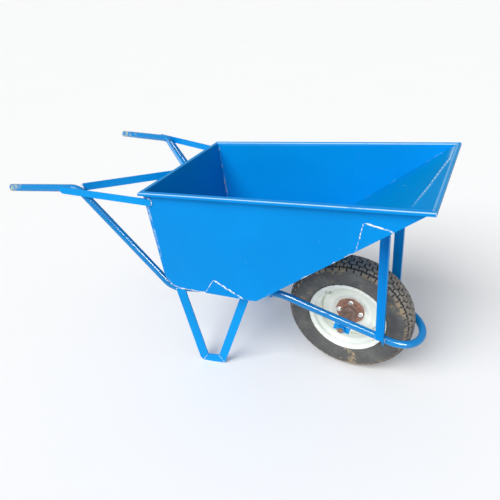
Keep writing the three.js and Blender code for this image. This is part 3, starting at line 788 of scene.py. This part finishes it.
def pipe(name, route, node):
    """A round tube with its bore; the outer edges of both ends are chamfered."""
    sides = 28
    inner = (TUBE_RADIUS - TUBE_WALL) * MM
    outer = TUBE_RADIUS * MM
    lead = 0.7 * MM
    world = [tray_point(*p) for p in route]
    frames = route_frames(world)
    (first, n1, b1), (last, n2, b2) = frames[0], frames[-1]
    ahead = (world[1] - world[0]).normalized() * lead
    back = (world[-1] - world[-2]).normalized() * lead
    rings = [(first, n1, b1, outer - lead), (first + ahead, n1, b1, outer)]
    rings += [(p, n, b, outer) for p, n, b in frames[1:-1]]
    rings += [(last - back, n2, b2, outer), (last, n2, b2, outer - lead)]
    rings += [(p, n, b, inner) for p, n, b in reversed(frames)]
    points = []
    for centre, n, b, radius in rings:
        for k in range(sides):
            a = 2 * pi * k / sides
            wobble = 1 + 0.004 * noise.noise(centre * 40 + n * cos(a) + b * sin(a))
            points.append(centre + (n * cos(a) + b * sin(a)) * min(radius * wobble, outer))
    faces = grid_faces(len(rings), sides, wrap_rows=True, wrap_columns=True)
    make_piece(name, points, faces, PAINT_TUBE_SHADED, "frame", (node,), 50)


# Welds ------------


def bead_run(run, radius, seed):
    """Points and faces of one unbroken stretch of weld, rippled, tapered and closed at both ends."""
    sides = 8
    points = []
    for i, (centre, n, b) in enumerate(run):
        taper = min(1.0, 0.35 + 0.3 * min(i, len(run) - 1 - i))
        lump = 0.95 + 0.18 * (i % 2) + 0.55 * noise.noise(centre * 150)
        size = radius * MM * taper * lump
        drift = noise.noise(centre * 75 + Vector((seed, 0, 0))) * 0.9 * radius * MM
        for k in range(sides):
            a = 2 * pi * k / sides
            points.append(centre + n * (cos(a) * size + drift) + b * (sin(a) * size))
    faces = grid_faces(len(run), sides, wrap_columns=True)
    faces.append(tuple(reversed(range(sides))))
    faces.append(tuple(range((len(run) - 1) * sides, len(run) * sides)))
    return points, faces


def bead(name, corners, radius, skips=0.0):
    """A weld along world points; skips is how much of it to leave out, in gaps."""
    route = [corners[0]]
    for a, b in zip(corners, corners[1:]):
        count = max(1, math.ceil((b - a).length / (WELD_RIPPLE * 0.5 * MM)))
        route.extend(a.lerp(b, (k + 1) / count) for k in range(count))
    seed = rng.random() * 100
    runs = [[]]
    for i, place in enumerate(route_frames(route)):
        if noise.noise(Vector((seed, i * WELD_RIPPLE * 0.012, 0.0))) < skips * 2 - 1:
            runs.append([])
        else:
            runs[-1].append(place)
    points, faces = [], []
    for run in runs:
        if len(run) >= 4:
            run_points, run_faces = bead_run(run, radius, seed)
            faces.extend(tuple(len(points) + v for v in face) for face in run_faces)
            points.extend(run_points)
    if points:
        make_piece(name, points, faces, WELD, "frame", (), 80)


def panel_seams(side, tag):
    """Welds along the outside of the seam between a side panel and the wrapped sheet."""
    y = side * (HALF_WIDTH - SHEET - 1.4)
    radius = REAR_RADIUS - 1.2
    x0, z0 = REAR_X + REAR_RADIUS, FLOOR_Z + REAR_RADIUS
    turns = [radians(180 + 9 * k) for k in range(11)]
    seams = [
        ("rear", 0.34, [(REAR_X + 1.2, z) for z in (545, 480, 400, 300, 240)]),
        ("corner", 0.1, [(x0 + radius * cos(a), z0 + radius * sin(a)) for a in turns]),
        ("floor", 0.42, [(x, FLOOR_Z + 1.3) for x in (-547, -450, -350, -262)]),
        ("slope", 0.62, [(x, panel_bottom(x) + 1.6) for x in (-225, -120, 0, 120, 220, 300)]),
    ]
    for label, skips, line in seams:
        bead(f"seam_weld_{label}_{tag}", [tray_point(x, y, z) for x, z in line], 1.5, skips)


def edge_welds(side, tag):
    """Beads on the panel's outer face: along the gussets' edges and round the strap's end."""
    y = side * (HALF_WIDTH + 1.5)
    (rx1, rz1), (rx2, rz2), (rx3, rz3) = REAR_GUSSET
    (fx1, fz1), (fx2, fz2), (fx3, fz3) = FRONT_GUSSET
    edges = [
        ("rear_weld_thin", (rx1, rz1), (rx2, rz2), 1.3, 0.25),
        ("rear_weld", (rx2, rz2 + 0.5), (rx3 + 2, rz3 + 1), 2.5, 0.08),
        ("front_weld_side", (fx1, fz1), (fx2, fz2), 1.6, 0.2),
        ("front_weld_top", (fx2, fz2 + 0.5), (fx3, fz3 + 1), 2.4, 0.06),
    ]
    for label, (x1, z1), (x2, z2), size, skips in edges:
        bead(f"gusset_{label}_{tag}", [tray_point(x1, y, z1), tray_point(x2, y, z2)], size, skips)
    y = side * (HALF_WIDTH + 1.8)
    ring = []
    for k in range(13):
        a = radians(-100 + 200 * k / 12)
        ring.append(tray_point(STRAP_END[0] + 13.5 * cos(a), y, STRAP_END[1] + 13.5 * sin(a)))
    bead(f"strap_end_weld_{tag}", ring, 1.7, 0.12)


def butt_weld(name, centre, axis, radius, size):
    """A bead right round a tube, centred on a tray-frame point with a tray-frame axis."""
    axis = Vector(axis).normalized()
    n = axis.orthogonal().normalized()
    b = axis.cross(n)
    points = []
    for k in range(31):
        a = radians(360.0 * k / 30)
        points.append(tray_point(*(Vector(centre) + (n * cos(a) + b * sin(a)) * radius)))
    bead(name, points, size)


def leg_welds(side, tag):
    """Beads at the tops of a leg's two bars, along and down the tube."""
    lean = cos(math.atan2(HEEL[1] - WAIST[1], WAIST[0] - HEEL[0]))
    for label, x1, x2 in (("rear", -574, -539), ("front", -318, -284)):
        out = (TUBE_RADIUS + 5.2) / lean
        line = []
        for t in (0, 0.5, 1):
            x = lerp(x1, x2, t)
            line.append(tray_point(x, side * (tube_y(x) + out), FLOOR_Z - 2.5))
        bead(f"leg_{label}_top_weld_{tag}", line, 1.8, 0.05)
        out = (TUBE_RADIUS + 0.6) / lean
        for x in (x1, x2):
            y = side * (tube_y(x) + out)
            line = [tray_point(x, y, TUBE_Z + 8), tray_point(x, y, TUBE_Z - 11.5)]
            bead(f"leg_{label}_side_weld_{tag}_{abs(x)}", line, 1.7)


def strut_welds(side, tag):
    """Beads at both edges of a strut's foot and along its top."""
    foot = side * (YOKE[1] + TUBE_RADIUS + 1.2)
    top = side * (YOKE[1] + TUBE_RADIUS + 2)
    bead(f"strut_weld_rear_{tag}", [tray_point(120.6, foot, 5), tray_point(120.8, foot, -12)], 1.9)
    bead(f"strut_weld_front_{tag}", [tray_point(151.6, foot, -3), tray_point(151.2, foot, -19)], 1.9)
    bead(f"strut_top_weld_{tag}", [tray_point(149.5, top, 446), tray_point(174, top, 464)], 2.0)


def bracket_weld(side, tag):
    """A bead under the loop tube, along the axle bracket's outer face."""
    under = 14.8
    line = []
    for x in (-17.5, 8.5, 34.5):
        z = YOKE[2] - (x - YOKE[0]) * tan(LOOP_SLOPE)
        at_x = x - under * sin(LOOP_SLOPE)
        line.append(tray_point(at_x, side * (YOKE[1] + 3.6), z - under * cos(LOOP_SLOPE)))
    bead(f"bracket_weld_{tag}", line, 2.2)


def brace_welds(side, tag):
    """Beads at a rear brace's two ends: on the elbow and on the rear wall."""
    elbow = [(-872, 260, 573), (-870, 261.5, 562), (-866, 262, 551)]
    bead(f"brace_end_weld_{tag}", [tray_point(x, side * y, z) for x, y, z in elbow], 3.0)
    wall = [tray_point(-609.2, side * 12.8, z) for z in (541, 515)]
    bead(f"brace_wall_weld_{tag}", wall, 1.6)


def joint_welds(side, tag):
    """Beads at the tubes: butt joint, legs, strut, bracket and brace."""
    centre = (SPLIT_X, side * tube_y(SPLIT_X), TUBE_Z)
    direction = (WAIST[0] - HEEL[0], -side * (HEEL[1] - WAIST[1]), 0)
    butt_weld(f"tube_butt_weld_{tag}", centre, direction, 13.6, 1.4)
    leg_welds(side, tag)
    strut_welds(side, tag)
    bracket_weld(side, tag)
    brace_welds(side, tag)


def foot_welds(side, tag):
    """Mitre welds on the outer and inner faces of the foot."""
    slope = (HEEL[1] - WAIST[1]) / (WAIST[0] - HEEL[0])
    mitres = [("heel", (-510.1, -143), (-533.0, -171)), ("toe", (-464.5, -143), (-446.5, -176))]
    for face, out in (("outer", 18.9), ("inner", 13.6)):
        for label, top, bottom in mitres:
            line = []
            for x, z in (top, bottom):
                y = side * (HEEL[1] - (x - HEEL[0]) * slope + out / cos(math.atan(slope)))
                line.append(tray_point(x, y, z))
            bead(f"foot_{label}_weld_{face}_{tag}", line, 0.9, 0.05)


# CAD nodes that keep their shape ------------


def keep_node(name, material, bevel):
    """Rounds a CAD node's edges and gives it a material; its own mesh isn't touched."""
    node = frame["nodes"][name]
    node.data.materials.clear()
    node.data.materials.append(material)
    for slot in node.material_slots:
        slot.material = material
    flatten = node.modifiers.new("flatten", "DECIMATE")
    flatten.decimate_type = "DISSOLVE"
    flatten.angle_limit = radians(1.5)
    rounding = node.modifiers.new("rounding", "BEVEL")
    rounding.width = bevel * MM
    rounding.segments = 3
    rounding.limit_method = "ANGLE"
    rounding.angle_limit = radians(35)
    rounding.harden_normals = True


def keep_cad_nodes():
    for side in ("right", "left"):
        for name in ("strap", "rear_brace", "leg_rear_bar", "foot_bar", "leg_front_bar"):
            keep_node(f"{name}_{side}", PAINT_BAR_LIT, 0.9)
        for name in ("gusset_rear", "gusset_front"):
            keep_node(f"{name}_{side}", PAINT_RIGHT_SHADED, 0.5)
        keep_node(f"strut_{side}", PAINT_STRUT_SHADED, 0.7)
        keep_node(f"axle_bracket_{side}", PAINT_BAR_LIT, 0.7)
        keep_node(f"axle_nut_{side}", NUT_PAINT, 0.9)
        keep_node(f"lock_nut_{side}", RUST_DARK, 0.9)
        keep_node(f"bearing_{side}", PLATED, 0.5)
    keep_node("cross_bar_rear", PAINT_BAR_LIT, 0.7)
    keep_node("cross_bar_front", PAINT_BAR_LIT, 0.7)
    keep_node("axle", RUST_DARK, 1.0)
    keep_node("inner_tube", SOFT_RUBBER, 0.5)
    for i in range(1, 5):
        keep_node(f"lug_nut_{i}", PLATED, 0.6)


# Wheel ------------


def lathe(name, profile, segments, material, nodes, sharp):
    """A ring round the axle from a closed list of (radius, y)."""
    points = []
    for k in range(segments):
        angle = 2 * pi * k / segments
        points.extend(wheel_point(r, y, angle) for r, y in profile)
    faces = grid_faces(segments, len(profile), wrap_rows=True, wrap_columns=True)
    make_piece(name, points, faces, material, "wheel", nodes, sharp)


def rounded(profile):
    """Rounds each corner of a closed outline of (r, y, rounding radius)."""
    steps = 4
    result = []
    for i, (r, y, radius) in enumerate(profile):
        corner = Vector((r, y))
        back = Vector(profile[i - 1][:2]) - corner
        ahead = Vector(profile[(i + 1) % len(profile)][:2]) - corner
        reach = min(radius, back.length * 0.45, ahead.length * 0.45)
        a = corner + back.normalized() * reach
        b = corner + ahead.normalized() * reach
        for k in range(steps + 1):
            t = k / steps
            p = a.lerp(corner, t).lerp(corner.lerp(b, t), t)
            result.append((p.x, p.y))
    return result


def spline_profile(knots, spacing):
    """Catmull-Rom through (r, y) knots, resampled at even arc spacing."""
    pts = [Vector(k) for k in knots]
    pts = [pts[0] * 2 - pts[1]] + pts + [pts[-1] * 2 - pts[-2]]
    dense = []
    for i in range(1, len(pts) - 2):
        for k in range(24):
            t = k / 24
            p0, p1, p2, p3 = pts[i - 1], pts[i], pts[i + 1], pts[i + 2]
            dense.append(0.5 * (
                2 * p1 + (p2 - p0) * t + (2 * p0 - 5 * p1 + 4 * p2 - p3) * t * t
                + (3 * p1 - p0 - 3 * p2 + p3) * t**3
            ))
    dense.append(pts[-2])
    result = [dense[0]]
    left = spacing
    for a, b in zip(dense, dense[1:]):
        length = (b - a).length
        along = 0.0
        while length - along >= left:
            along += left
            result.append(a.lerp(b, along / length))
            left = spacing
        left -= length - along
    result.append(dense[-1])
    return result


def tread_depth(turn, arc):
    """0 on a block, 1 in a groove. turn counts pitches round the tyre, arc is mm from the crown."""
    across = abs(arc)
    if across > 69:
        return 0.0
    wandering = arc + 2.6 * (abs((turn * 2) % 2 - 1) * 2 - 1)
    depth = 0.0
    for line in (-44.0, -26.5, -9.0, 9.0, 26.5, 44.0):
        depth = max(depth, 1 - smooth(1.5, 2.6, abs(wandering - line)))
    row = math.floor((wandering + 9.0) / 17.5)
    phase = (turn + (0.5 if row % 2 else 0.0)) % 1.0
    fade = 1 - smooth(62, 69, across)
    depth = max(depth, (1 - smooth(0.055, 0.095, min(phase, 1 - phase))) * fade)
    return depth * fade if across > 66 else depth


def tyre_outline():
    """Outer (r, y) points from bead to bead, with each one's outward normal and mm from the crown."""
    half = [
        (144.9, 39.5), (147.5, 44.5), (156, 48.0), (168, 51.6), (186, 54.2), (203, 52.3), (216, 45.2),
        (225.5, 32.5), (230.4, 18), (231.7, 6),
    ]
    outer = spline_profile([(r, -y) for r, y in half] + [(231.9, 0.0)] + half[::-1], 2.0)
    stations = [0.0]
    for a, b in zip(outer, outer[1:]):
        stations.append(stations[-1] + (b - a).length)
    outline = []
    for i, station in enumerate(stations):
        tangent = outer[min(i + 1, len(outer) - 1)] - outer[max(i - 1, 0)]
        normal = Vector((tangent.y, -tangent.x)).normalized()
        outline.append((outer[i], normal, station - stations[-1] / 2))
    return outline


def tyre_relief(radius, arc, cut, place):
    """How far the surface stands out, in mm: grooves on the tread, moulded rings on the sides."""
    across = abs(arc)
    uneven = 0.5 * noise.noise(place * 9 + Vector((0, 0, arc * 0.11)))
    ridge = 0.0
    if across > 72:
        ridge = 0.8 * max(0.0, cos((radius - 153) * 2 * pi / 11)) ** 8
        ridge -= 0.5 * smooth(0.3, 0.9, noise.noise(place + Vector((0, 0, radius * 0.02))))
    deep = 6.0 * cut * (1 - 0.35 * smooth(40, 66, across))
    return min(ridge - deep + uneven - 0.3, 0.0 if across < 72 else 0.5)


def tyre():
    outline = tyre_outline()
    inner = [
        (129.8, 38.2), (129.8, 27.2), (137.2, 26.2), (156, 38.2), (188, 45.6), (207, 37.6), (217, 26.8),
        (221.6, 12),
    ]
    hollow = inner + [(r, -y) for r, y in inner[::-1]]
    fractions = [0.0, 0.05, 0.10, 0.2, 0.3, 0.4, 0.45, 0.5, 0.55, 0.60, 0.7, 0.8, 0.9, 0.95]
    turns = [pitch + fraction for pitch in range(TREAD_PITCHES) for fraction in fractions]
    points, groove, side = [], [], []
    for turn in turns:
        angle = 2 * pi * turn / TREAD_PITCHES
        place = Vector((cos(angle), sin(angle), 0)) * 3
        for p, n, arc in outline:
            cut = tread_depth(turn, arc)
            move = tyre_relief(p.x, arc, cut, place)
            points.append(wheel_point(p.x + n.x * move, p.y + n.y * move, angle))
            groove.append(cut)
            side.append(smooth(35, 105, abs(arc)))
        points.extend(wheel_point(r, y, angle) for r, y in hollow)
        groove.extend([0.0] * len(hollow))
        side.extend([1.0] * len(hollow))
    faces = grid_faces(len(turns), len(outline) + len(hollow), wrap_rows=True, wrap_columns=True)
    piece = make_piece("tyre_treaded", points, faces, RUBBER, "wheel", ("tyre",), 40)
    store(piece, groove=groove, side=side)


def rim():
    half = [
        (109.8, 20.2, 5), (126.6, 27.4, 3), (126.9, 41.2, 4), (139.4, 41.6, 4), (141.8, 45, 1.2),
        (144.0, 43.6, 1.2), (142.2, 39.2, 3), (129.2, 38.8, 3), (129.0, 25.8, 3), (112, 18.7, 5),
    ]
    mirror = [(r, -y, c) for r, y, c in half]
    lathe("rim_band_enamelled", rounded(mirror + half[::-1]), 128, CREAM, ("rim_band",), 50)


def wheel_disc():
    """The pressed disc, its near face first and then its far face."""
    profile = [
        (27.8, 6.5, 0.5), (50, 6.5, 2), (56, 4.6, 3), (61, 4.6, 4), (69, -1.5, 6), (82, -1.5, 6),
        (92, 4.8, 5), (96, 6.5, 3), (104, 6.5, 4), (109.0, 9.2, 2), (109.0, 20, 0.6),
        (106.4, 20, 0.6), (106.2, 9.5, 2), (95.8, 9.5, 4), (82, 1.6, 6), (69, 1.6, 6),
        (58.2, 9.5, 5), (27.8, 9.5, 0.5),
    ]
    lathe("wheel_disc_enamelled", rounded(profile), 128, CREAM, ("wheel_disc",), 50)


def hub():
    """The cast hub with its flange, a bearing pocket at each end and a clearance bore between."""
    pocket = 23.9
    profile = [
        (pocket, -22, 0.8), (28, -22, 2.5), (28, -6, 4), (31, -1.8, 3), (52, -1.8, 2), (52, 6.2, 1.2),
        (27, 6.2, 0.5), (27, 58, 2), (pocket, 58, 0.8), (pocket, 43.5, 0.5), (12.5, 43.5, 0.5),
        (12.5, -7.5, 0.5), (pocket, -7.5, 0.5),
    ]
    lathe("hub_cast", rounded(profile), 96, RUST_FLANGE, ("hub",), 50)


def hub_cap():
    """The pressed dust cover over the near bearing, with a small raised centre."""
    profile = [
        (10.6, -23.0, 0.3), (12.5, -25.2, 1.5), (18, -24.6, 2), (26.8, -24.4, 2), (28.6, -23.2, 1.2),
        (28.9, -10, 0.5), (28.15, -10, 0.2), (28.1, -22.2, 0.3), (10.6, -22.2, 0.3),
    ]
    lathe("hub_dust_cover", rounded(profile), 64, RUST_DARK, (), 40)


def hex_bolt(index):
    """Chamfered hexagon head, washer face and shank, standing for a CAD bolt."""
    name = f"lug_bolt_{index}"
    low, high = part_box(name)
    centre = (Vector(low) + Vector(high)) / 2
    length = high[1] - low[1]
    turn = rng.random()
    # Radius, distance behind the head's face, and whether the ring is hexagonal.
    rings = [
        (0.0, 0.0, False), (0.0032, 0.0, False), (0.0078, 0.0, False), (0.0097, 0.0014, True),
        (0.0097, 0.0052, True), (0.0097, 0.0054, False), (0.0097, 0.0068, False), (0.0049, 0.0069, False),
        (0.0049, length, False), (0.0, length, False),
    ]
    sides = 48
    points = []
    for radius, back, hexagonal in rings:
        for k in range(sides):
            a = 2 * pi * k / sides
            reach = radius
            if hexagonal:
                within = (a + turn) % (pi / 3) - pi / 6
                reach = radius * cos(pi / 6) / cos(within)
            x, z = centre.x + reach * cos(a), centre.z + reach * sin(a)
            points.append(Vector((x, low[1] + back, z)))
    faces = grid_faces(len(rings), sides, wrap_columns=True)[sides:-sides]
    faces.append(tuple(sides + k for k in range(sides)))
    faces.append(tuple((len(rings) - 2) * sides + k for k in reversed(range(sides))))
    make_piece(f"{name}_chamfered", points, faces, PLATED, "wheel", (name,), 30)


def valve():
    """Rubber valve stem with a screwed cap, on the stem's CAD axis."""
    lean = radians(40)
    axis = Vector((sin(lean), -cos(lean), 0))
    base = Vector((103, -11, 0))
    spin = Matrix.Rotation(-VALVE_TURN, 3, "Y")
    sides = 20
    thread = [(16.5 + 0.8 * k, 3.6 if k % 2 else 3.9) for k in range(7)]
    rings = [(0, 6.3), (1.5, 6.4), (4.5, 5.8), (6.0, 4.4), (15, 3.7), (16, 3.2)] + thread
    rings += [(24.8, 3.8), (25.8, 2.6)]
    side = axis.orthogonal().normalized()
    other = axis.cross(side)
    points = []
    for along, radius in rings:
        for k in range(sides):
            a = 2 * pi * k / sides
            p = base + axis * along + (side * cos(a) + other * sin(a)) * radius
            points.append(AXLE + (spin @ p) * MM)
    faces = grid_faces(len(rings), sides, wrap_columns=True, flip=True)
    faces.append(tuple(range(sides)))
    faces.append(tuple(len(points) - 1 - k for k in range(sides)))
    make_piece("valve_stem_capped", points, faces, VALVE_RUBBER, "wheel", ("valve_stem",), 35)


# Stage ------------


def stage():
    """A pale floor and an even pale sky."""
    marks = [lerp(-40.0, 40.0, i / 8) for i in range(9)]
    mesh = bpy.data.meshes.new("floor")
    mesh.from_pydata([(x, y, 0.0) for x in marks for y in marks], [], grid_faces(9, 9, flip=True))
    mesh.materials.append(floor_finish("pale_floor"))
    add_object("floor", mesh)

    world = bpy.data.worlds.new("soft_sky")
    bpy.context.scene.world = world
    world.use_nodes = True
    sky = world.node_tree.nodes["Background"]
    sky.inputs["Color"].default_value = (0.98, 0.99, 1.0, 1.0)
    sky.inputs["Strength"].default_value = 0.50
    bpy.context.scene.view_settings.view_transform = "Standard"


def softbox(name, place, size):
    """A lamp aimed at the tray that shows only in glossy highlights."""
    data = bpy.data.lights.new(name, "AREA")
    data.shape = "RECTANGLE"
    data.size, data.size_y = size
    data.energy = 150.0
    lamp = add_object(name, data)
    lamp.location = Vector(place)
    lamp.rotation_euler = (Vector((0.05, 0.0, 0.45)) - Vector(place)).to_track_quat("-Z", "Y").to_euler()
    lamp.visible_diffuse = False


def lights():
    data = bpy.data.lights.new("daylight", "SUN")
    data.energy = 2.6
    data.angle = radians(38)
    sun = add_object("daylight", data)
    sun.rotation_euler = Vector((-0.22, -0.66, 0.72)).to_track_quat("Z", "Y").to_euler()
    softbox("softbox", (0.45, -1.6, 2.6), (1.5, 0.8))
    softbox("front_softbox", (2.0, -1.0, 1.6), (1.1, 1.3))


def camera():
    """The photo's viewpoint, from the right, in front and above."""
    data = bpy.data.cameras.new("camera")
    data.sensor_width = 36.0
    data.lens = 34.02
    data.clip_end = 200.0
    eye = AXLE + Vector((0.3241, -1.3624, 1.1394))
    right = Vector((0.89385, 0.4467, -0.04555)).normalized()
    forward = Vector((-0.40027, 0.7467, -0.53133)).normalized()
    up = right.cross(forward).normalized()
    right = forward.cross(up)
    turn = Matrix((right, up, -forward)).transposed()
    shot = add_object("camera", data)
    shot.matrix_world = Matrix.Translation(eye) @ turn.to_4x4()
    bpy.context.scene.camera = shot


def build_tray():
    wrap_sheet()
    for side, tag in ((-1, "right"), (1, "left")):
        side_panel(side, f"tray_side_{tag}")
        panel_seams(side, tag)
        edge_welds(side, tag)


def build_frame():
    for side, tag in ((-1, "right"), (1, "left")):
        pipe(f"handle_tube_{tag}_round", handle_route(side), f"handle_tube_{tag}")
        joint_welds(side, tag)
        foot_welds(side, tag)
    pipe("wheel_loop_round", loop_route(), "wheel_loop")
    keep_cad_nodes()


def build_wheel():
    tyre()
    rim()
    wheel_disc()
    hub()
    hub_cap()
    valve()
    for index in range(1, 5):
        hex_bolt(index)


camera()
lights()
stage()
build_tray()
build_frame()
build_wheel()
